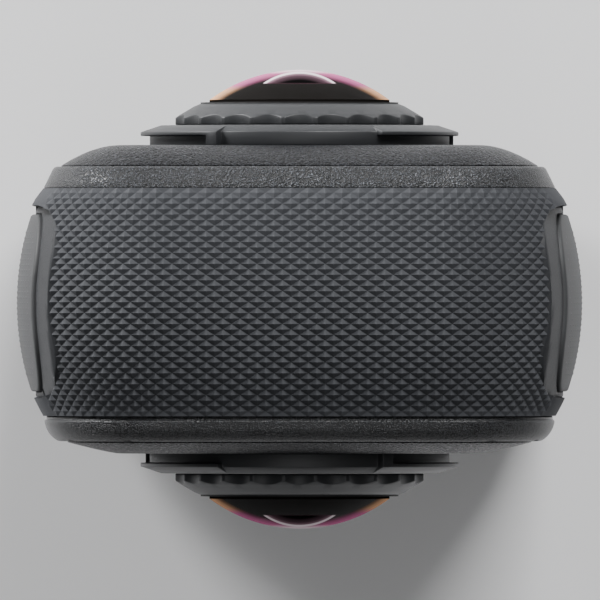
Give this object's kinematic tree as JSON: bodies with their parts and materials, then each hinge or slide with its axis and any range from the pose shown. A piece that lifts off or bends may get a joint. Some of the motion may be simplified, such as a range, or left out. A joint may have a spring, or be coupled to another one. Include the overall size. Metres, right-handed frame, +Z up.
{
  "type": "360 degree camera",
  "caption": "Upright pocket camera with a domed fisheye lens on each face, a diamond grip over the head, a rear screen, side doors, keys and a tripod bush.",
  "frame": {"origin": "middle of the base, on the surface that the camera stands on", "axes": "+Z up along the camera, +Y out of the rear (screen) side, -Y out of the front, +X to the right when seen from the front"},
  "size_m": [0.046, 0.0374, 0.114],
  "materials": {
    "graphite_shell": "matte moulded graphite plastic",
    "sparkle_bezel": "coarse sparkling grain",
    "face_plastic": "fine leather-like grain",
    "pad_plastic": "fine woven diamond texture",
    "door_plastic": "smooth satin plastic",
    "key_plastic": "satin key caps",
    "lens_trim": "satin graphite coating",
    "dome_glass": "coated optical glass",
    "element_glass": "coated optical glass",
    "black_barrel": "light trap black",
    "black_rubber": "matte rubber",
    "screen_glass": "polished dark glass",
    "display_stack": "dark display",
    "steel": "plain steel",
    "thread_brass": "turned",
    "cast_metal": "cast",
    "board_laminate": "solder mask",
    "sensor_cover": "sensor under cover glass",
    "cell_wrap": "printed wrap, left bare",
    "inner_plastic": "plain black plastic",
    "ribbon_film": "amber film",
    "light_guide": "clear light guide"
  },
  "bodies": {
    "body": {"middle_frame": "graphite_shell", "head_grip": "graphite_shell", "rear_bezel": "sparkle_bezel", "front_bezel": "sparkle_bezel", "rear_face_plate": "face_plastic", "front_face_plate": "face_plastic", "left_mic_pad": "pad_plastic", "right_mic_pad": "pad_plastic", "front_lens_mount": "lens_trim", "rear_lens_mount": "lens_trim", "front_inner_elements": "element_glass", "rear_inner_elements": "element_glass", "front_lens_barrel": "black_barrel", "rear_lens_barrel": "black_barrel", "base_foot": "black_rubber", "screen_glass": "screen_glass", "display_panel": "display_stack", "battery_door_pin": "steel", "port_door_pin": "steel", "rear_case_screws": "steel", "front_case_screws": "steel", "lens_mount_screws": "steel", "chip_shields": "steel", "card_socket": "steel", "charging_socket": "steel", "microphones": "steel", "tripod_bush": "thread_brass", "lens_block": "cast_metal", "heat_spreader": "cast_metal", "main_board": "board_laminate", "front_sensor_board": "board_laminate", "rear_sensor_board": "board_laminate", "front_image_sensor": "sensor_cover", "rear_image_sensor": "sensor_cover", "battery": "cell_wrap", "battery_tray": "inner_plastic", "battery_contacts": "inner_plastic", "side_key_switches": "inner_plastic", "face_key_switches": "inner_plastic", "speaker": "inner_plastic", "front_sensor_ribbon": "ribbon_film", "rear_sensor_ribbon": "ribbon_film", "radio_aerial": "ribbon_film", "status_light": "light_guide"},
    "front_lens": {"front_lens_ring": "lens_trim", "front_dome_lens": "dome_glass", "front_lens_gasket": "black_rubber"},
    "rear_lens": {"rear_lens_ring": "lens_trim", "rear_dome_lens": "dome_glass", "rear_lens_gasket": "black_rubber"},
    "power_key": {"power_button": "key_plastic"},
    "quick_key": {"quick_button": "key_plastic"},
    "shutter_key": {"shutter_button": "key_plastic"},
    "view_key": {"view_button": "key_plastic"},
    "bay_door": {"battery_door": "door_plastic", "battery_door_seal": "black_rubber"},
    "latch": {"battery_latch": "door_plastic"},
    "port_cover": {"port_door": "door_plastic", "port_door_seal": "black_rubber"},
    "card": {"memory_card": "inner_plastic"}
  },
  "joints": [
    {"name": "front_lens_twist", "type": "hinge", "parent": "body", "child": "front_lens", "pos_m": [0, -0.0142, 0.0928], "axis": [0, -1, 0], "range_deg": [0, 35]},
    {"name": "rear_lens_twist", "type": "hinge", "parent": "body", "child": "rear_lens", "pos_m": [0, 0.0142, 0.0928], "axis": [0, 1, 0], "range_deg": [0, 35]},
    {"name": "power_press", "type": "slide", "parent": "body", "child": "power_key", "axis": [-1, 0, 0], "range_m": [0, 0.0005], "stiffness_N_per_m": 1500, "springref_m": -0.0003},
    {"name": "quick_press", "type": "slide", "parent": "body", "child": "quick_key", "axis": [-1, 0, 0], "range_m": [0, 0.0005], "stiffness_N_per_m": 1500, "springref_m": -0.0003},
    {"name": "shutter_press", "type": "slide", "parent": "body", "child": "shutter_key", "axis": [0, -1, 0], "range_m": [0, 0.0005], "stiffness_N_per_m": 1500, "springref_m": -0.0003},
    {"name": "view_press", "type": "slide", "parent": "body", "child": "view_key", "axis": [0, -1, 0], "range_m": [0, 0.0005], "stiffness_N_per_m": 1500, "springref_m": -0.0003},
    {"name": "bay_door_swing", "type": "hinge", "parent": "body", "child": "bay_door", "pos_m": [-0.02075, 0, 0.00985], "axis": [0, -1, 0], "range_deg": [0, 90]},
    {"name": "latch_slide", "type": "slide", "parent": "bay_door", "child": "latch", "axis": [0, 0, 1], "range_m": [0, 0.0022]},
    {"name": "port_cover_swing", "type": "hinge", "parent": "body", "child": "port_cover", "pos_m": [0.02075, 0, 0.01285], "axis": [0, 1, 0], "range_deg": [0, 90]},
    {"name": "card_push", "type": "slide", "parent": "body", "child": "card", "axis": [1, 0, 0], "range_m": [0, 0.0006], "stiffness_N_per_m": 800, "springref_m": -0.0003}
  ]
}
